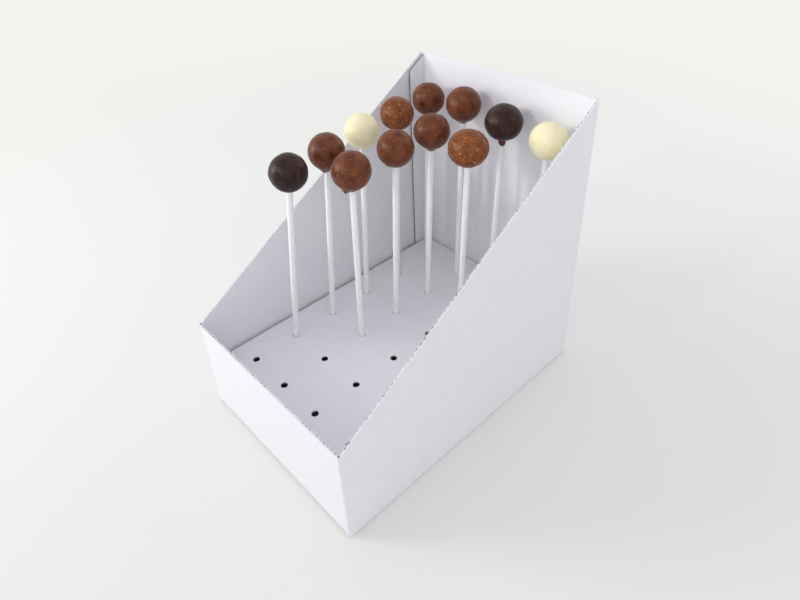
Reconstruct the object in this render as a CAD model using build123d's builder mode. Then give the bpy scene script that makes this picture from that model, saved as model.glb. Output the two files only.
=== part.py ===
from build123d import *

import math
import os
from typing import NamedTuple

# A cake pop box of white fluted board: an open display box with a low front and a high back,
# a raised insert with punched holes inside it, and cake pops whose sticks stand in the holes.
# Millimetres, +Z up. The origin is on the table, under the middle of the box.
# The front wall is at -Y, the back wall at +Y.

# Fluted board and its creases
board = 1.5
crease_inner_radius = 0.5
crease_relief = 3.0
crease_mid_radius = crease_inner_radius + board / 2
crease_outer_radius = crease_inner_radius + board

# Punched holes of the insert
hole_columns = 4
hole_rows = 6
hole_pitch = 35.0
hole_diameter = 4.8
hole_side_margin = 21.5
hole_end_margin = 22.5

# Insert: its top face stands at insert_height over the table
insert_height = 43.0
insert_gap = 0.5
insert_width = (hole_columns - 1) * hole_pitch + 2 * hole_side_margin
insert_depth = (hole_rows - 1) * hole_pitch + 2 * hole_end_margin

# Box: the insert also clears the glue flap, which is one board thick
front_height = 77.0
back_height = 213.0
glue_flap_width = 16.0
glue_flap_drop = 2.5
bottom_seam = 1.0
box_width = insert_width + 2 * (insert_gap + board) + 2 * board
box_depth = insert_depth + 2 * insert_gap + 2 * board
bottom_flap_depth = box_width / 2

# Sticks and cake pops
stick_diameter = 4.2
stick_length = 190.0
stick_past_centre = 6.0
stick_seat_gap = 0.1
pop_diameter = 25.2
pop_bore_gap = 0.05
pop_drip_wall = 0.5
quarter_round_share = 0.5523

# How far cutting shapes run past the board
overrun = 5.0

# Middle planes of the walls, and the two levels of the box's doubled bottom
wall_x = (box_width - board) / 2
wall_y = (box_depth - board) / 2
side_flap_top = board
end_flap_top = 2 * board
end_flap_edge = box_depth / 2 - bottom_flap_depth
wall_bottom = end_flap_top + crease_outer_radius

os.makedirs("parts", exist_ok=True)


def slope_height(y):
    """Height of the side walls' cut edge, which rises from the front wall to the back wall."""
    return front_height + (back_height - front_height) * (y + box_depth / 2 - board) / (box_depth - 2 * board)


# Display box: four walls and the glue flap are one strip, bent round at its upright creases
flap_front = wall_y - glue_flap_width
flap_back = box_depth / 2 - crease_outer_radius

with BuildPart() as display_box:
    with BuildSketch(Plane.XY.offset(side_flap_top)):
        with BuildLine():
            FilletPolyline(
                (board - wall_x, flap_front),
                (board - wall_x, wall_y),
                (wall_x, wall_y),
                (wall_x, -wall_y),
                (-wall_x, -wall_y),
                (-wall_x, flap_back),
                radius=crease_mid_radius,
            )
        trace(line_width=board)
        with Locations((-box_width / 2, flap_front)):
            Rectangle(2 * board, flap_back - flap_front, align=Align.MIN)
    extrude(amount=back_height - side_flap_top)

    # The side walls slope from the front wall's top edge to the back wall's
    with BuildSketch(Plane.YZ):
        with BuildLine():
            Polyline(
                (-box_depth / 2 - overrun, front_height),
                (board - box_depth / 2, front_height),
                (box_depth / 2 - board, back_height),
                (box_depth / 2 - board, back_height + overrun),
                (-box_depth / 2 - overrun, back_height + overrun),
                close=True,
            )
        make_face()
    extrude(amount=box_width, both=True, mode=Mode.SUBTRACT)

    # The glue flap and its crease are cut a little lower than the left wall
    cut_front = flap_front - overrun
    cut_back = box_depth / 2 + overrun
    with BuildSketch(Plane.YZ.offset(board - box_width / 2)):
        with BuildLine():
            Polyline(
                (cut_front, slope_height(cut_front) - glue_flap_drop),
                (cut_back, slope_height(cut_back) - glue_flap_drop),
                (cut_back, back_height + overrun),
                (cut_front, back_height + overrun),
                close=True,
            )
        make_face()
    extrude(amount=crease_outer_radius, mode=Mode.SUBTRACT)

    # Between the corner slots the walls go on into the bottom flaps; the glue flap ends above them
    with BuildSketch(Plane.XY.offset(side_flap_top)):
        Rectangle(box_width + overrun, box_depth - 2 * crease_relief)
        Rectangle(box_width - 2 * crease_relief, box_depth + overrun)
        with Locations((board - box_width / 2, box_depth / 2)):
            Rectangle(crease_relief, 2 * crease_relief, align=(Align.MIN, Align.CENTER))
    extrude(amount=wall_bottom - side_flap_top, mode=Mode.SUBTRACT)

    # Flaps of the side walls: they lie outside and meet at a seam
    for side in (-1, 1):
        with BuildSketch(Plane.XZ):
            with BuildLine():
                FilletPolyline(
                    (side * wall_x, wall_bottom),
                    (side * wall_x, board / 2),
                    (side * bottom_seam / 2, board / 2),
                    radius=crease_mid_radius,
                )
            trace(line_width=board)
        extrude(amount=box_depth / 2 - crease_relief, both=True)

    # Flaps of the front and back walls: they are glued on top of the side flaps
    for end in (-1, 1):
        with BuildSketch(Plane.YZ):
            with BuildLine():
                FilletPolyline(
                    (end * wall_y, wall_bottom),
                    (end * wall_y, side_flap_top + board / 2),
                    (end * end_flap_edge, side_flap_top + board / 2),
                    radius=crease_mid_radius,
                )
            trace(line_width=board)
        extrude(amount=box_width / 2 - crease_relief, both=True)

display_box.part.label = "display_box"
export_step(display_box.part, "parts/display_box.step")


# Holed insert: a panel with four legs folded down, cut free of each other at the corners
leg_x = (insert_width - board) / 2
leg_y = (insert_depth - board) / 2
panel_middle = insert_height - board / 2

with BuildPart() as holed_insert:
    with BuildSketch(Plane.XZ):
        with BuildLine():
            FilletPolyline(
                (-leg_x, end_flap_top),
                (-leg_x, panel_middle),
                (leg_x, panel_middle),
                (leg_x, end_flap_top),
                radius=crease_mid_radius,
            )
        trace(line_width=board)
    extrude(amount=insert_depth / 2 - crease_relief, both=True)

    with BuildSketch(Plane.YZ):
        with BuildLine():
            FilletPolyline(
                (-leg_y, end_flap_top),
                (-leg_y, panel_middle),
                (leg_y, panel_middle),
                (leg_y, end_flap_top),
                radius=crease_mid_radius,
            )
        trace(line_width=board)
    extrude(amount=insert_width / 2 - crease_relief, both=True)

    with BuildSketch(Plane.XY.offset(panel_middle)):
        with GridLocations(hole_pitch, hole_pitch, hole_columns, hole_rows):
            Circle(hole_diameter / 2)
    extrude(amount=board, both=True, mode=Mode.SUBTRACT)

holed_insert.part.label = "holed_insert"
export_step(holed_insert.part, "parts/holed_insert.step")


class Pop(NamedTuple):
    """One cake pop: its coat, its hole, how its stick leans, and the form of its ball.

    Columns count from the left, rows from the front. Leans are degrees to the right and to the
    back. Shares are of the ball's nominal diameter: how much higher it sits on its stick, its
    width and height, and the width and length of the coat's run-off on the stick.
    """

    coat: str
    column: int
    row: int
    lean_right: float
    lean_back: float
    rise_share: float
    width_share: float
    height_share: float
    neck_share: float
    drip_share: float


pops = [
    Pop("dark", 0, 1, 5.5, 3.0, -0.14, 0.99, 0.99, 0.24, 0.01),
    Pop("milk", 0, 2, 3.5, 2.5, -0.08, 0.99, 0.99, 0.30, 0.05),
    Pop("milk", 1, 2, 2.5, 0.0, -0.10, 1.01, 1.01, 0.36, 0.06),
    Pop("white", 0, 3, 2.0, 2.0, -0.02, 0.97, 0.97, 0.24, 0.01),
    Pop("milk", 1, 3, 2.5, 1.0, -0.04, 0.98, 0.99, 0.26, 0.02),
    Pop("nut", 0, 4, 1.5, 1.5, -0.02, 0.97, 0.95, 0.26, 0.02),
    Pop("milk", 1, 4, 2.5, 0.5, -0.08, 0.99, 0.98, 0.42, 0.07),
    Pop("nut", 2, 4, 2.5, -0.5, -0.10, 1.06, 0.97, 0.26, 0.02),
    Pop("milk", 0, 5, 1.0, 1.0, 0.00, 0.97, 0.97, 0.26, 0.01),
    Pop("milk", 1, 5, 0.0, 2.0, 0.14, 1.00, 1.00, 0.28, 0.04),
    Pop("dark", 2, 5, 1.0, 1.5, 0.04, 1.04, 1.00, 0.25, 0.18),
    Pop("white", 3, 5, 2.0, 1.0, -0.02, 1.00, 0.98, 0.24, 0.01),
]


def stick_plane(pop):
    """Plane across the stick's foot: it leans through its hole and stands on the bottom."""
    hole = Vector(
        (pop.column - (hole_columns - 1) / 2) * hole_pitch,
        (pop.row - (hole_rows - 1) / 2) * hole_pitch,
        panel_middle,
    )
    lean = Vector(
        math.tan(math.radians(pop.lean_right)),
        math.tan(math.radians(pop.lean_back)),
        1,
    ).normalized()
    floor = side_flap_top if abs(hole.Y) < end_flap_edge else end_flap_top
    low_rim = stick_diameter / 2 * math.sqrt(1 - lean.Z**2)
    foot_height = floor + stick_seat_gap + low_rim
    foot = hole - lean * ((hole.Z - foot_height) / lean.Z)
    return Plane(origin=foot, z_dir=lean)


for number, pop in enumerate(pops, start=1):
    foot_plane = stick_plane(pop)

    # Stick: a plain rolled-paper rod
    with BuildPart() as stick:
        with BuildSketch(foot_plane):
            Circle(stick_diameter / 2)
        extrude(amount=stick_length)

    stick.part.label = f"stick_{number:02d}"
    export_step(stick.part, f"parts/stick_{number:02d}.step")

    # Ball: turned about the stick, with a blind bore for it and the coat's run-off below
    rise = pop.rise_share * pop_diameter
    half_width = pop.width_share * pop_diameter / 2
    half_height = pop.height_share * pop_diameter / 2
    neck_radius = pop.neck_share * pop_diameter / 2
    neck_height = -half_height * math.sqrt(1 - (neck_radius / half_width) ** 2)
    bore_radius = stick_diameter / 2 + pop_bore_gap
    bore_top = stick_past_centre - rise + pop_bore_gap
    drip_radius = bore_radius + pop_drip_wall
    drip_bottom = -half_height - pop.drip_share * pop_diameter
    ball_plane = Plane(
        origin=foot_plane.origin + foot_plane.z_dir * (stick_length - stick_past_centre + rise),
        x_dir=foot_plane.x_dir,
        z_dir=-foot_plane.y_dir,
    )

    with BuildPart() as ball:
        with BuildSketch(ball_plane):
            with BuildLine():
                for pole in (-half_height, half_height):
                    Bezier(
                        (half_width, 0),
                        (half_width, quarter_round_share * pole),
                        (quarter_round_share * half_width, pole),
                        (0, pole),
                    )
                Line((0, -half_height), (0, half_height))
            make_face()
            with BuildLine():
                Polyline(
                    (0, neck_height + drip_radius),
                    (neck_radius, neck_height),
                    (drip_radius, drip_bottom),
                    (0, drip_bottom),
                    close=True,
                )
            make_face()
            with Locations((0, drip_bottom - overrun)):
                Rectangle(
                    bore_radius,
                    bore_top - drip_bottom + overrun,
                    align=Align.MIN,
                    mode=Mode.SUBTRACT,
                )
        revolve(axis=Axis(ball_plane.origin, ball_plane.y_dir))

    ball.part.label = f"pop_{number:02d}_{pop.coat}"
    export_step(ball.part, f"parts/pop_{number:02d}_{pop.coat}.step")
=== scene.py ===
import math
import random

import bmesh
import bpy
from mathutils import Matrix, Vector


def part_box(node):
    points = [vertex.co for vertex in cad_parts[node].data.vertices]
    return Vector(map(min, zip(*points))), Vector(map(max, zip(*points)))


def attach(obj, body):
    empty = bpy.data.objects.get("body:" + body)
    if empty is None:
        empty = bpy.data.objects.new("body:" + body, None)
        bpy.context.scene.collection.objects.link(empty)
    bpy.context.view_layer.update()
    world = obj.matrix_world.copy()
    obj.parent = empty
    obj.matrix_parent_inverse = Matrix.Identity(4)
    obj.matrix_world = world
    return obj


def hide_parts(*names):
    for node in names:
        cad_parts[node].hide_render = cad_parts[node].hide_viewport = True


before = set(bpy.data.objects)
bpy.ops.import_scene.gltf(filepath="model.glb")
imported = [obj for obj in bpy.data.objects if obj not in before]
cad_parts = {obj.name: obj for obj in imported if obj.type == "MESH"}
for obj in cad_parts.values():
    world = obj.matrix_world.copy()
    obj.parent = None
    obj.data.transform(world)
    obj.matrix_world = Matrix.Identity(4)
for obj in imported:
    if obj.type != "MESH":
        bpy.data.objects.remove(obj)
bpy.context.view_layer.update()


# Display box
# One die-cut blank of white fluted board, creased, folded up and glued at its back left corner.
# Its cut edges are open: between the two paper liners the board is hollow but for its wavy core.
# The hollows in the cut edges are painted dark grey, as painted shade.
board = 0.0015
liner = 0.00022
flute_pitch = 0.0033
front_height = 0.077
groove_depth = 0.0045
merge_distance = 1e-6
flat_angle = math.radians(0.5)
smooth_angle = math.radians(25)
facing_cosine = 0.9999

box_low, box_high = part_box("display_box")
slope_start = Vector((0, box_low.y + board, front_height))
slope_end = Vector((0, box_high.y - board, box_high.z))
slope_run = slope_end - slope_start
slope_normal = Vector((0, -slope_run.z, slope_run.y)).normalized()


def copy_of(piece, name):
    """A copy of a piece with its own mesh, selected alone."""
    bpy.ops.object.select_all(action="DESELECT")
    twin = bpy.data.objects.new(name, piece.data.copy())
    bpy.context.collection.objects.link(twin)
    bpy.context.view_layer.objects.active = twin
    twin.select_set(True)
    return twin


def merged_copy(node, name):
    """A copy of a CAD node with its loose triangles joined into whole flat faces, in edit mode."""
    piece = copy_of(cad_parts[node], name)
    piece.data.materials.clear()
    bpy.ops.mesh.customdata_custom_splitnormals_clear()
    bpy.ops.object.mode_set(mode="EDIT")
    bpy.ops.mesh.select_all(action="SELECT")
    bpy.ops.mesh.remove_doubles(threshold=merge_distance)
    bpy.ops.mesh.dissolve_limited(angle_limit=flat_angle)
    return piece


def choose_faces(piece, wanted):
    """Selects only the faces of a piece in edit mode for which wanted(face) is true."""
    bpy.ops.mesh.select_mode(type="FACE")
    bpy.ops.mesh.select_all(action="DESELECT")
    shape = bmesh.from_edit_mesh(piece.data)
    for face in shape.faces:
        face.select_set(wanted(face))
    bmesh.update_edit_mesh(piece.data)


def paint_with_neighbours(faces, slot):
    """Gives faces, and all that share an edge with them, one of their piece's materials."""
    for face in faces:
        for edge in face.edges:
            for side in edge.link_faces:
                side.material_index = slot


def on_back_edge(face):
    """True for the top edge of the back wall, which the cutting die has pressed shut."""
    at_top = face.calc_center_median().z > box_high.z - board / 2
    return at_top and face.normal.z > facing_cosine


def on_cut_edge(face):
    """True for the top edges of all walls, and for the glue flap's two edges."""
    middle = face.calc_center_median()
    if face.normal.dot(slope_normal) > facing_cosine or on_back_edge(face):
        return True
    if face.normal.z > facing_cosine:
        return abs(middle.z - front_height) < board / 2
    inside_left_wall = box_low.x + board < middle.x < box_low.x + 2 * board
    return face.normal.y < -facing_cosine and inside_left_wall and middle.z > front_height


def new_material(name, gloss):
    """A new material with the given specular level. Gives it, its node tree and its shader."""
    material = bpy.data.materials.new(name)
    material.use_nodes = True
    tree = material.node_tree
    shader = tree.nodes["Principled BSDF"]
    shader.inputs["Specular IOR Level"].default_value = gloss
    return material, tree, shader


def add_node(tree, kind, **inputs):
    """A shader node with these inputs set, each named in lower case with _ for a space."""
    node = tree.nodes.new(kind)
    for key, value in inputs.items():
        node.inputs[key.replace("_", " ").title()].default_value = value
    return node


def feed(tree, socket, value):
    """Links a socket to another one, or sets it to a number or an RGB colour."""
    if isinstance(value, bpy.types.NodeSocket):
        tree.links.new(value, socket)
    else:
        socket.default_value = (*value, 1) if isinstance(value, tuple) else value


def join_math(tree, operation, first, second=0.0):
    """A Math node over sockets or numbers. Gives its result socket."""
    node = tree.nodes.new("ShaderNodeMath")
    node.operation = operation
    feed(tree, node.inputs[0], first)
    feed(tree, node.inputs[1], second)
    return node.outputs["Value"]


def mix_colours(tree, factor, first, second):
    """A mix of two colours or colour sockets by a factor socket. Gives its result socket."""
    first_colour, second_colour, mixed_colour = 6, 7, 2
    node = tree.nodes.new("ShaderNodeMix")
    node.data_type = "RGBA"
    tree.links.new(factor, node.inputs["Factor"])
    feed(tree, node.inputs[first_colour], first)
    feed(tree, node.inputs[second_colour], second)
    return node.outputs[mixed_colour]


def spread(tree, pattern, low, high):
    """The part of a 0 to 1 pattern between low and high, spread over 0 to 1."""
    node = add_node(tree, "ShaderNodeMapRange", from_min=low, from_max=high)
    tree.links.new(pattern, node.inputs["Value"])
    return node.outputs["Result"]


def vary(tree, pattern, least, most):
    """A number that follows a 0 to 1 pattern from least to most."""
    return join_math(tree, "ADD", join_math(tree, "MULTIPLY", pattern, most - least), least)


def noise(tree, place, scale, detail):
    """Noise over a coordinate socket, as a 0 to 1 socket."""
    node = add_node(tree, "ShaderNodeTexNoise", scale=scale, detail=detail)
    tree.links.new(place, node.inputs["Vector"])
    return node.outputs["Fac"]


def bump(tree, shader, height, depth):
    """Raises the shader's surface by a height socket, with the given depth for a height of 1."""
    node = add_node(tree, "ShaderNodeBump", strength=1.0, distance=depth)
    tree.links.new(height, node.inputs["Height"])
    tree.links.new(node.outputs["Normal"], shader.inputs["Normal"])


def board_finish(name, pale, shaded, washboard=0.00001):
    """Liner paper: clouded by its fibres, with the flutes faintly telegraphing through."""
    cloud_share = 0.6
    fibre_share = 0.4
    fibre_height = 0.000012
    side_wall_cosine = 0.5

    material, tree, shader = new_material(name, gloss=0.35)
    place = tree.nodes.new("ShaderNodeTexCoord").outputs["Object"]
    clouds = noise(tree, place, scale=90.0, detail=4.0)
    fibres = noise(tree, place, scale=1100.0, detail=3.0)
    tone = join_math(
        tree,
        "ADD",
        join_math(tree, "MULTIPLY", clouds, cloud_share),
        join_math(tree, "MULTIPLY", fibres, fibre_share),
    )
    colour = mix_colours(tree, spread(tree, tone, low=0.32, high=0.66), shaded, pale)
    tree.links.new(colour, shader.inputs["Base Color"])
    tree.links.new(vary(tree, fibres, least=0.48, most=0.68), shader.inputs["Roughness"])

    # The flutes stand upright in the walls, so the ripple runs along each wall's own length
    facing = tree.nodes.new("ShaderNodeSeparateXYZ")
    normal = tree.nodes.new("ShaderNodeNewGeometry").outputs["Normal"]
    tree.links.new(normal, facing.inputs["Vector"])
    sideways = join_math(tree, "ABSOLUTE", facing.outputs["X"])
    on_side_wall = join_math(tree, "GREATER_THAN", sideways, side_wall_cosine)
    along = tree.nodes.new("ShaderNodeSeparateXYZ")
    tree.links.new(place, along.inputs["Vector"])
    run = tree.nodes.new("ShaderNodeMix")
    tree.links.new(on_side_wall, run.inputs["Factor"])
    tree.links.new(along.outputs["X"], run.inputs["A"])
    tree.links.new(along.outputs["Y"], run.inputs["B"])
    turn = join_math(tree, "MULTIPLY", run.outputs["Result"], 2 * math.pi / flute_pitch)
    wave = join_math(tree, "SINE", turn)
    ripple = join_math(tree, "MULTIPLY", wave, washboard / fibre_height)
    bump(tree, shader, join_math(tree, "ADD", ripple, fibres), fibre_height)
    return material


white_board = board_finish(
    "white_board", pale=(0.855, 0.86, 0.87), shaded=(0.825, 0.83, 0.842)
)
# Grey back of the liners, darkened further as painted shade for the hollows in cut edges and holes
grey_liner_and_painted_shade = board_finish(
    "grey_liner_and_painted_shade", pale=(0.33, 0.32, 0.32), shaded=(0.20, 0.195, 0.195), washboard=0.0
)

folded_box = merged_copy("display_box", "folded_box")
folded_box.data.materials.append(white_board)
folded_box.data.materials.append(grey_liner_and_painted_shade)
choose_faces(folded_box, on_cut_edge)
bpy.ops.mesh.inset(thickness=liner, use_even_offset=True)

# The inset can lift a corner above the box, so that is pressed level before the grooves are sunk
shape = bmesh.from_edit_mesh(folded_box.data)
for vertex in shape.verts:
    vertex.co.z = min(vertex.co.z, box_high.z)
shape.normal_update()
for face in shape.faces:
    face.select_set(face.select and not on_back_edge(face))
bmesh.update_edit_mesh(folded_box.data)
bpy.ops.mesh.extrude_region_move(TRANSFORM_OT_translate={"value": (0, 0, 0)})
shape = bmesh.from_edit_mesh(folded_box.data)
groove_floors = [face for face in shape.faces if face.select]
moves = {
    (vertex, (0, 1, 0) if face.normal.y < -facing_cosine else (0, 0, -1))
    for face in groove_floors
    for vertex in face.verts
}
for vertex, inwards in moves:
    vertex.co += Vector(inwards) * groove_depth
# The groove floors and walls take the dark grey paper: painted shade in the open board
paint_with_neighbours(groove_floors, slot=1)
bmesh.update_edit_mesh(folded_box.data)
bpy.ops.object.mode_set(mode="OBJECT")
bpy.ops.object.shade_smooth_by_angle(angle=smooth_angle)
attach(folded_box, "root")
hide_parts("display_box")


# Wavy core in the cut edges
# Fluting paper between the liners, its waves upright in the walls. The cutting die has pressed the
# outer half of each edge shut, so the waves stay open at the inner liner as small cells, dark with
# the shade painted on the grooves behind them.
wave_height = 0.0004
wave_steps = 5
crest_lead = 0.75
core_depth = 0.007
least_pressed = 0.3
most_pressed = 0.85
pressed_face = board / 2 - liner
raw_paper = board_finish(
    "raw_paper", pale=(0.78, 0.78, 0.79), shaded=(0.66, 0.66, 0.67), washboard=0.0
)


def core_strip(name, length, rise, seed):
    """A strip of core along +Y from the origin, open to -X, cut on top by a line that rises."""
    waves = round(length / flute_pitch)
    pitch = length / waves
    half_chord = pitch / 4
    arc_radius = (half_chord**2 + wave_height**2) / (2 * wave_height)
    arc_angle = 2 * math.asin(half_chord / arc_radius)

    # One wave: an upright edge spun over two arcs
    bpy.ops.object.select_all(action="DESELECT")
    bpy.ops.mesh.primitive_plane_add(size=core_depth, rotation=(math.pi / 2, 0, 0))
    strip = bpy.context.object
    strip.name = name
    bpy.ops.object.transform_apply(location=True, rotation=True, scale=True)
    bpy.ops.object.mode_set(mode="EDIT")
    shape = bmesh.from_edit_mesh(strip.data)
    for vertex in shape.verts:
        vertex.select_set(vertex.co.x > 0)
    shape.select_flush_mode()
    bpy.ops.mesh.delete(type="VERT")
    bpy.ops.mesh.select_all(action="SELECT")
    bpy.ops.transform.translate(value=(core_depth / 2, 0, 0))
    for way, middle in ((-1, half_chord), (1, 3 * half_chord)):
        bpy.ops.mesh.spin(
            steps=wave_steps,
            dupli=False,
            angle=way * arc_angle,
            center=(way * (arc_radius - wave_height), middle, 0),
            axis=(0, 0, 1),
        )
    bpy.ops.object.mode_set(mode="OBJECT")

    repeat = strip.modifiers.new("repeat", "ARRAY")
    repeat.count = waves
    repeat.use_relative_offset = False
    repeat.use_constant_offset = True
    repeat.constant_offset_displace = (0, pitch, 0)
    repeat.use_merge_vertices = True
    repeat.merge_threshold = merge_distance
    bpy.ops.object.modifier_apply(modifier="repeat")

    # The die has pressed some waves further towards the inner liner than others
    chance = random.Random(seed)
    pressed = [chance.uniform(least_pressed, most_pressed) for wave in range(waves + 2)]
    for vertex in strip.data.vertices:
        place = vertex.co.y / pitch + crest_lead
        wave = math.floor(place)
        share = pressed[wave] + (pressed[wave + 1] - pressed[wave]) * (place - wave)
        vertex.co.x -= (vertex.co.x + pressed_face) * share
        vertex.co.z += vertex.co.y * rise / length

    # The ribbon is drawn back to the outer liner, and cut off along the line
    bpy.ops.object.mode_set(mode="EDIT")
    bpy.ops.mesh.select_all(action="SELECT")
    bpy.ops.mesh.extrude_region_move(TRANSFORM_OT_translate={"value": (0, 0, 0)})
    bpy.ops.transform.resize(value=(0, 1, 1), center_override=(pressed_face, 0, 0))
    bpy.ops.mesh.select_all(action="SELECT")
    bpy.ops.mesh.normals_make_consistent(inside=False)
    bpy.ops.mesh.bisect(
        plane_co=(0, 0, 0), plane_no=(0, -rise, length), use_fill=True, clear_outer=True
    )
    bpy.ops.object.mode_set(mode="OBJECT")
    strip.data.materials.append(raw_paper)
    return strip


def set_strip(strip, corner, turn=0.0):
    """Puts a strip with its start at the corner, turned about the upright, and lets it ride."""
    strip.matrix_world = Matrix.Translation(corner) @ Matrix.Rotation(turn, 4, "Z")
    bpy.ops.object.select_all(action="DESELECT")
    bpy.context.view_layer.objects.active = strip
    strip.select_set(True)
    bpy.ops.object.transform_apply(location=True, rotation=True, scale=True)
    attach(strip, "root")


core_run = slope_run.y - 2 * liner
core_rise = core_run * slope_run.z / slope_run.y
front_run = box_high.x - box_low.x - 2 * board
right_core = core_strip("right_wall_core", core_run, core_rise, seed=2)
left_core = copy_of(right_core, "left_wall_core")
bpy.ops.object.mode_set(mode="EDIT")
bpy.ops.mesh.select_all(action="SELECT")
bpy.ops.transform.resize(value=(-1, 1, 1), center_override=(0, 0, 0))
bpy.ops.mesh.flip_normals()
bpy.ops.object.mode_set(mode="OBJECT")
front_core = core_strip("front_wall_core", front_run, rise=0.0, seed=3)

start_y = slope_start.y + liner
start_z = front_height + liner * slope_run.z / slope_run.y
front_start = Vector((box_low.x + board, box_low.y + board / 2, front_height))
set_strip(right_core, Vector((box_high.x - board / 2, start_y, start_z)))
set_strip(left_core, Vector((box_low.x + board / 2, start_y, start_z)))
set_strip(front_core, front_start, turn=-math.pi / 2)


# Holed insert
# A second blank of the same board, its four legs folded down. The punch has pressed the rims of the
# holes round, and their walls are painted dark grey as the shade in the open core. It only rests in
# the box, so its gaps stay open.
rim_round = 0.00015
hole_zone = 0.01
upright_limit = 0.1

insert_low, insert_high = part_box("holed_insert")
insert_white = board_finish(
    "insert_white", pale=(0.85, 0.855, 0.87), shaded=(0.82, 0.825, 0.842)
)


def in_hole(face):
    """True for the walls of the punched holes, which lie well inside the panel's creases."""
    middle = face.calc_center_median()
    in_zone = insert_low.x + hole_zone < middle.x < insert_high.x - hole_zone
    in_zone = in_zone and insert_low.y + hole_zone < middle.y < insert_high.y - hole_zone
    in_panel = middle.z > insert_high.z - board
    return in_zone and in_panel and abs(face.normal.z) < upright_limit


punched_insert = merged_copy("holed_insert", "punched_insert")
punched_insert.data.materials.append(insert_white)
punched_insert.data.materials.append(grey_liner_and_painted_shade)
choose_faces(punched_insert, in_hole)
# The hole walls take the dark grey paper as painted shade
for face in bmesh.from_edit_mesh(punched_insert.data).faces:
    face.material_index = int(face.select)
bpy.ops.mesh.region_to_loop()
bpy.ops.mesh.bevel(offset=rim_round, segments=1, affect="EDGES", material=0)
bpy.ops.object.mode_set(mode="OBJECT")
bpy.ops.object.shade_smooth_by_angle(angle=smooth_angle)
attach(punched_insert, "root")
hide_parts("holed_insert")


# Sticks
# Rolled white paper, wound in a slant, so that its edge runs round the stick as a fine screw line.
# Each one stands loose in its hole. One stick is modelled, and the others are copies.
stick_radius = 0.0021
stick_sides = 32
stick_round = 0.0003
screw_turns = 9.0


def ends_of(node):
    """The middles of a stick's foot and top, from its CAD node."""
    points = [vertex.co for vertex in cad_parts[node].data.vertices]
    half_way = sum(point.z for point in points) / len(points)
    ends = []
    for upper in (False, True):
        rim = [point for point in points if (point.z > half_way) == upper]
        ends.append(Vector([(min(axis) + max(axis)) / 2 for axis in zip(*rim)]))
    return ends


def rolled_paper():
    """White paper with a fine screw line, from the stick's own UV map."""
    edge_colour = (0.85, 0.85, 0.83)
    dull_paper = (0.91, 0.91, 0.89)
    pale_paper = (0.95, 0.95, 0.935)
    edge_share = 0.10
    side_share = 0.5

    material, tree, shader = new_material("rolled_paper", gloss=0.3)
    shader.inputs["Roughness"].default_value = 0.6
    coordinates = tree.nodes.new("ShaderNodeTexCoord")
    around = tree.nodes.new("ShaderNodeSeparateXYZ")
    tree.links.new(coordinates.outputs["UV"], around.inputs["Vector"])

    # A cylinder's side takes up only a share of its UV map's height
    climb = join_math(tree, "MULTIPLY", around.outputs["Y"], screw_turns / side_share)
    winding = join_math(tree, "ADD", around.outputs["X"], climb)
    edge = spread(tree, join_math(tree, "FRACT", winding), low=0.0, high=edge_share)
    fibres = noise(tree, coordinates.outputs["Object"], scale=1500.0, detail=3.0)
    paper = mix_colours(tree, fibres, dull_paper, pale_paper)
    tree.links.new(mix_colours(tree, edge, edge_colour, paper), shader.inputs["Base Color"])
    bump(tree, shader, join_math(tree, "ADD", edge, fibres), depth=0.00002)
    return material


def stand_on(foot, way):
    """Move and turn that stand a piece made along +Z on a foot, pointing the given way."""
    lean = Vector((0, 0, 1)).rotation_difference(way)
    return Matrix.Translation(foot) @ lean.to_matrix().to_4x4()


stick_nodes = sorted(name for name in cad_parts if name.startswith("stick_"))
foot, top = ends_of(stick_nodes[-1])
stick_length = (top - foot).length

bpy.ops.object.select_all(action="DESELECT")
bpy.ops.mesh.primitive_cylinder_add(
    vertices=stick_sides,
    radius=stick_radius,
    depth=stick_length,
    location=(0, 0, stick_length / 2),
)
paper_stick = bpy.context.object
bpy.ops.object.transform_apply(location=True, rotation=True, scale=True)
bpy.ops.object.mode_set(mode="EDIT")
choose_faces(paper_stick, lambda face: abs(face.normal.z) > facing_cosine)
bpy.ops.mesh.inset(thickness=stick_round)
bpy.ops.mesh.bevel(offset=stick_round / 2, segments=2, affect="EDGES")
bpy.ops.object.mode_set(mode="OBJECT")
bpy.ops.object.shade_smooth_by_angle(angle=smooth_angle)
paper_stick.data.materials.append(rolled_paper())

for node in stick_nodes:
    foot, top = ends_of(node)
    stick = copy_of(paper_stick, node.replace("stick", "paper_stick"))
    stick.data.transform(stand_on(foot, top - foot))
    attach(stick, "root")
    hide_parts(node)
bpy.data.objects.remove(paper_stick)


# Cake pops
# Cake balls dipped in chocolate and set on the sticks. The coat is a little uneven, closes round
# the stick in a collar, and has run down before it set. Dark, milk, nut and white coats are mixed.
ball_segments = 48
ball_rings = 32
bore_gap = 0.00005
collar_wall = 0.0005
common_collar = 0.0036
lump_size = 0.009
lump_height = 0.0008

# Each coat's deep colour, its warm colour, and the colour of its flecks
coat_colours = {
    "dark": ((0.017, 0.005, 0.004), (0.040, 0.015, 0.012), (0.08, 0.038, 0.030)),
    "milk": ((0.092, 0.021, 0.006), (0.175, 0.047, 0.015), (0.30, 0.125, 0.050)),
    "nut": ((0.140, 0.035, 0.007), (0.240, 0.070, 0.016), (0.50, 0.22, 0.055)),
    "white": ((0.86, 0.78, 0.46), (0.89, 0.83, 0.55), (0.91, 0.88, 0.68)),
}


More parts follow.
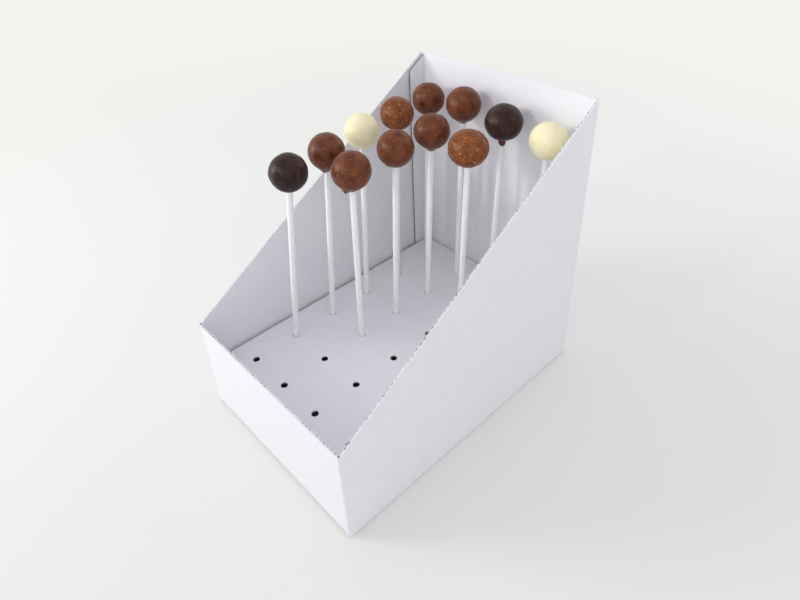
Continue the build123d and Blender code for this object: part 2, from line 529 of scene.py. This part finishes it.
def chocolate(coat):
    """A set chocolate coat: clouded colour, pale flecks, and a satin gloss that varies with it."""
    deep, warm, fleck = coat_colours[coat]
    material, tree, shader = new_material(f"{coat}_chocolate", gloss=0.25)
    place = tree.nodes.new("ShaderNodeTexCoord").outputs["Object"]
    clouds = noise(tree, place, scale=160.0, detail=5.0)
    grain = noise(tree, place, scale=700.0, detail=4.0)
    base = mix_colours(tree, spread(tree, clouds, low=0.35, high=0.65), deep, warm)
    colour = mix_colours(tree, spread(tree, grain, low=0.58, high=0.75), base, fleck)
    tree.links.new(colour, shader.inputs["Base Color"])
    tree.links.new(vary(tree, clouds, least=0.26, most=0.46), shader.inputs["Roughness"])
    bump(tree, shader, grain, depth=0.00018)
    return material


coats = {coat: chocolate(coat) for coat in coat_colours}
lumps = bpy.data.textures.new("coat_lumps", type="CLOUDS")
lumps.noise_scale = lump_size


def ball_on(node, foot, top):
    """Where a CAD ball sits on its stick: heights of its middle, top and bottom, and its radius."""
    axis = (top - foot).normalized()
    points = [vertex.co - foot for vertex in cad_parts[node].data.vertices]
    heights = [point.dot(axis) for point in points]
    radii = [(point - axis * height).length for point, height in zip(points, heights)]
    widest = radii.index(max(radii))
    return heights[widest], max(heights), min(heights), radii[widest]


def cake_ball(name, radius, half_height, drop, collar, slant, stick_top):
    """A ball about the origin, in edit mode, with a bore, and a collar where the stick goes in.

    The collar ends at the given drop, and its lower edge rises from there along the slant.
    """
    bore = stick_radius + bore_gap
    collar_foot = bore + collar_wall
    bpy.ops.object.select_all(action="DESELECT")
    bpy.ops.mesh.primitive_uv_sphere_add(segments=ball_segments, ring_count=ball_rings, radius=1)
    ball = bpy.context.object
    ball.name = name
    bpy.ops.object.mode_set(mode="EDIT")
    bpy.ops.mesh.select_all(action="SELECT")
    bpy.ops.transform.resize(value=(radius, radius, half_height), center_override=(0, 0, 0))

    choose_faces(
        ball,
        lambda face: face.normal.z < 0 and face.calc_center_median().xy.length < collar,
    )
    rim = max(
        vertex.co.xy.length
        for face in bmesh.from_edit_mesh(ball.data).faces if face.select
        for vertex in face.verts
    )
    bpy.ops.mesh.extrude_region_move(TRANSFORM_OT_translate={"value": (0, 0, 0)})
    narrow = collar_foot / rim
    bpy.ops.transform.resize(value=(narrow, narrow, 0), center_override=(0, 0, -drop))
    shape = bmesh.from_edit_mesh(ball.data)
    collar_end = [face for face in shape.faces if face.select]
    paint_with_neighbours(collar_end, slot=1)
    for vertex in {vertex for face in collar_end for vertex in face.verts}:
        vertex.co.z += slant.dot(vertex.co.xy) + slant.length * collar_foot
    bmesh.update_edit_mesh(ball.data)
    bpy.ops.mesh.inset(thickness=collar_wall)
    bpy.ops.mesh.extrude_region_move(TRANSFORM_OT_translate={"value": (0, 0, stick_top + drop)})
    return ball


def draw_drip(ball, towards, radius, length):
    """Draws the coat of a ball in edit mode out into a drip, most where it faces the given way."""
    bpy.ops.mesh.select_mode(type="VERT")
    bpy.ops.mesh.select_all(action="DESELECT")
    shape = bmesh.from_edit_mesh(ball.data)
    root = max(shape.verts, key=lambda vertex: vertex.co.normalized().dot(towards))
    root.select_set(True)
    bmesh.update_edit_mesh(ball.data)
    bpy.ops.transform.translate(
        value=towards * length,
        use_proportional_edit=True,
        use_proportional_connected=True,
        proportional_edit_falloff="SHARP",
        proportional_size=radius,
    )


def settle_ball(ball, stand):
    """Rounds off a ball in edit mode, puts it on its stick, and makes its coat uneven there."""
    bpy.ops.object.mode_set(mode="OBJECT")
    soften = ball.modifiers.new("soften", "SUBSURF")
    soften.levels = soften.render_levels = 1
    bpy.ops.object.modifier_apply(modifier="soften")
    ball.matrix_world = stand
    uneven = ball.modifiers.new("uneven", "DISPLACE")
    uneven.texture = lumps
    uneven.texture_coords = "GLOBAL"
    uneven.strength = lump_height
    bpy.ops.object.modifier_apply(modifier="uneven")
    bpy.ops.object.transform_apply(location=True, rotation=True, scale=True)
    bpy.ops.object.shade_smooth()


# Collars that are not of the common width, that end in a slant, or that are of another chocolate,
# in which the stick was dipped first
collar_radius = {
    "pop_02_milk": 0.0026,
    "pop_03_milk": 0.0026,
    "pop_07_milk": 0.0052,
    "pop_11_dark": 0.0022,
}
collar_slant = {"pop_11_dark": (-0.52, 0.46)}
collar_coat = {"pop_11_dark": "milk"}

# Drips: which way each one faces, its radius and its length
drips = {
    "pop_02_milk": ((0.12, -0.25, -0.96), 0.0062, 0.0026),
    "pop_03_milk": ((-0.02, -0.38, -0.92), 0.0050, 0.0034),
}

for node in sorted(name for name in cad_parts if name.startswith("pop_")):
    number, coat = node.split("_")[1:]
    foot, top = ends_of(f"stick_{number}")
    middle, high, low, radius = ball_on(node, foot, top)
    ball = cake_ball(
        f"cake_pop_{number}_{coat}",
        radius=radius,
        half_height=high - middle,
        drop=middle - low,
        collar=collar_radius.get(node, common_collar),
        slant=Vector(collar_slant.get(node, (0, 0))),
        stick_top=stick_length - middle + bore_gap,
    )
    if node in drips:
        towards, drip_radius, drip_length = drips[node]
        draw_drip(ball, Vector(towards).normalized(), drip_radius, drip_length)
    settle_ball(ball, stand_on(foot, top - foot) @ Matrix.Translation((0, 0, middle)))
    ball.data.materials.append(coats[coat])
    ball.data.materials.append(coats[collar_coat.get(node, coat)])
    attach(ball, "root")
    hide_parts(node)


# Nut pieces
# Chopped toasted nuts stirred into the coat of two pops. They stand out of it a little, some under
# a skin of chocolate. One chip is modelled, and turned copies of it are joined for each pop.
chip_count = 150
chip_radius = 0.0009
chip_shape = (1.0, 0.8, 0.65)
chip_unevenness = 0.0003
chip_sink = 0.35
smallest_chip = 0.55
largest_chip = 1.25
highest_chip = 0.96
lowest_chip = -0.90
turn_jitter = 0.25
bare_share = 0.55
golden_turn = math.pi * (3 - math.sqrt(5))
dark_roast = (0.24, 0.085, 0.022)
pale_roast = (0.56, 0.27, 0.075)

toasted_nut, tree, shader = new_material("toasted_nut", gloss=0.4)
shader.inputs["Roughness"].default_value = 0.45
place = tree.nodes.new("ShaderNodeTexCoord").outputs["Object"]
roast = noise(tree, place, scale=420.0, detail=3.0)
colour = mix_colours(tree, spread(tree, roast, low=0.35, high=0.65), dark_roast, pale_roast)
tree.links.new(colour, shader.inputs["Base Color"])
bump(tree, shader, roast, depth=0.0001)

bpy.ops.object.select_all(action="DESELECT")
bpy.ops.mesh.primitive_ico_sphere_add(subdivisions=1, radius=chip_radius)
nut_chip = bpy.context.object
bpy.ops.object.mode_set(mode="EDIT")
bpy.ops.mesh.select_all(action="SELECT")
bpy.ops.transform.vertex_random(offset=chip_unevenness, seed=5)
bpy.ops.transform.resize(value=chip_shape, center_override=(0, 0, 0))
bpy.ops.mesh.normals_make_consistent(inside=False)
bpy.ops.object.mode_set(mode="OBJECT")


def nut_pieces(name, ball, seed):
    """Chips spread evenly over a ball, set into its coat where they are, and joined."""
    chance = random.Random(seed)
    points = [vertex.co for vertex in ball.data.vertices]
    middle = Vector([(min(axis) + max(axis)) / 2 for axis in zip(*points)])
    chips = []
    for count in range(chip_count):
        height = highest_chip - (highest_chip - lowest_chip) * count / chip_count
        turn = count * golden_turn + chance.uniform(-turn_jitter, turn_jitter)
        level = math.sqrt(1 - height**2)
        way = Vector((level * math.cos(turn), level * math.sin(turn), height))
        place = max(points, key=lambda point: (point - middle).normalized().dot(way))
        chip = copy_of(nut_chip, f"{name}_{count}")
        size = chance.uniform(smallest_chip, largest_chip)
        spin = Matrix.Rotation(chance.uniform(0, 2 * math.pi), 4, "Z")
        sized = spin @ Matrix.Diagonal((size, size, size, 1))
        chip.data.transform(stand_on(place - way * chip_sink * chip_radius, way) @ sized)
        chip.data.materials.append(toasted_nut if chance.random() < bare_share else coats["nut"])
        chips.append(chip)
    for chip in chips:
        chip.select_set(True)
    bpy.context.view_layer.objects.active = chips[0]
    bpy.ops.object.join()
    chips[0].name = name
    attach(chips[0], "root")


nut_pieces("nut_pieces_06", bpy.data.objects["cake_pop_06_nut"], seed=6)
nut_pieces("nut_pieces_08", bpy.data.objects["cake_pop_08_nut"], seed=8)
bpy.data.objects.remove(nut_chip)


# Studio
# A pale floor that fades into a plain backdrop, and an even light from all round. A soft lamp is
# low at the front left, a weak one behind, and a narrow spot looks over the low front wall.
backdrop = (0.888, 0.896, 0.855)
floor_colour = (0.84, 0.855, 0.785)
floor_radius = 3.0
floor_sides = 96
fade_start = 0.25
fade_end = 0.9
sky_colour = (0.91, 0.90, 1.0)
sky_strength = 0.92
lamp_distance = 1.3

bpy.ops.object.select_all(action="DESELECT")
bpy.ops.mesh.primitive_circle_add(vertices=floor_sides, radius=floor_radius, fill_type="NGON")
floor = bpy.context.object
floor.name = "studio_floor"
floor_paint, tree, shader = new_material("floor_paint", gloss=0.0)
shader.inputs["Base Color"].default_value = (*floor_colour, 1)
shader.inputs["Roughness"].default_value = 0.9
far_light = add_node(tree, "ShaderNodeEmission", color=(*backdrop, 1), strength=1.0)
from_middle = tree.nodes.new("ShaderNodeVectorMath")
from_middle.operation = "LENGTH"
place = tree.nodes.new("ShaderNodeTexCoord").outputs["Object"]
tree.links.new(place, from_middle.inputs[0])
fade = spread(tree, from_middle.outputs["Value"], fade_start, fade_end)
far_blend = tree.nodes.new("ShaderNodeMixShader")
tree.links.new(fade, far_blend.inputs["Fac"])
tree.links.new(shader.outputs["BSDF"], far_blend.inputs[1])
tree.links.new(far_light.outputs["Emission"], far_blend.inputs[2])
tree.links.new(far_blend.outputs["Shader"], tree.nodes["Material Output"].inputs["Surface"])
floor.data.materials.append(floor_paint)

world = bpy.data.worlds.new("studio")
bpy.context.scene.world = world
world.use_nodes = True
tree = world.node_tree
sky = tree.nodes["Background"]
sky.inputs["Color"].default_value = (*sky_colour, 1)
sky.inputs["Strength"].default_value = sky_strength
seen = add_node(tree, "ShaderNodeBackground", color=(*backdrop, 1), strength=1.0)
ray = tree.nodes.new("ShaderNodeLightPath")
straight = join_math(tree, "MAXIMUM", ray.outputs["Is Camera Ray"], ray.outputs["Is Glossy Ray"])
straight = join_math(tree, "MAXIMUM", straight, ray.outputs["Is Transmission Ray"])
sky_blend = tree.nodes.new("ShaderNodeMixShader")
tree.links.new(straight, sky_blend.inputs["Fac"])
tree.links.new(sky.outputs["Background"], sky_blend.inputs[1])
tree.links.new(seen.outputs["Background"], sky_blend.inputs[2])
tree.links.new(sky_blend.outputs["Shader"], tree.nodes["World Output"].inputs["Surface"])


def add_lamp(name, kind, aim, towards, power):
    """A lamp that looks at the aim from the given direction. Gives its settings."""
    towards = Vector(towards).normalized()
    bpy.ops.object.light_add(type=kind, location=aim + towards * lamp_distance)
    lamp = bpy.context.object
    lamp.name = name
    lamp.rotation_euler = towards.to_track_quat("Z", "Y").to_euler()
    lamp.data.energy = power
    return lamp.data


box_middle = Vector((0, 0, 0.11))
left_lamp = add_lamp("left_lamp", "AREA", box_middle, towards=(-0.68, -0.70, 0.28), power=6.1)
left_lamp.size = 0.45
back_lamp = add_lamp("back_lamp", "AREA", box_middle, towards=(0.0, 0.97, 0.20), power=1.4)
back_lamp.size = 0.6

# The spot lights the pops and the top of the back wall
pops_middle = Vector((0, 0.11, 0.235))
front_spot = add_lamp("front_spot", "SPOT", pops_middle, towards=(-0.12, -0.90, 0.42), power=12.5)
front_spot.spot_size = math.radians(16)
front_spot.spot_blend = 1.0
front_spot.shadow_soft_size = 0.06

# Camera fitted to the box's corners, the punched holes and the balls in the photograph
image_width = 800
image_height = 600
focal_pixels = 622.77
centre_pixel = (398.0, 234.0)
camera_turn = math.radians(48.393)
camera_rise = math.radians(33.730)
camera_roll = math.radians(-2.996)
camera_offset = Vector((-0.000411, -0.110152, -0.487950))
sensor_width = 36.0
nearest_seen = 0.01

backwards = Vector((
    math.sin(camera_turn) * math.cos(camera_rise),
    -math.cos(camera_turn) * math.cos(camera_rise),
    math.sin(camera_rise),
))
level = Vector((0, 0, 1)).cross(backwards).normalized()
steep = backwards.cross(level)
rightwards = level * math.cos(camera_roll) + steep * math.sin(camera_roll)
upwards = steep * math.cos(camera_roll) - level * math.sin(camera_roll)
axes = Matrix((rightwards, upwards, backwards)).transposed()
bpy.ops.object.camera_add()
camera = bpy.context.object
camera.matrix_world = Matrix.Translation(axes @ -camera_offset) @ axes.to_4x4()
camera.data.sensor_width = sensor_width
camera.data.lens = focal_pixels / image_width * sensor_width
camera.data.shift_x = (image_width / 2 - centre_pixel[0]) / image_width
camera.data.shift_y = (centre_pixel[1] - image_height / 2) / image_width
camera.data.clip_start = nearest_seen
bpy.context.scene.camera = camera
bpy.context.scene.view_settings.view_transform = "Standard"
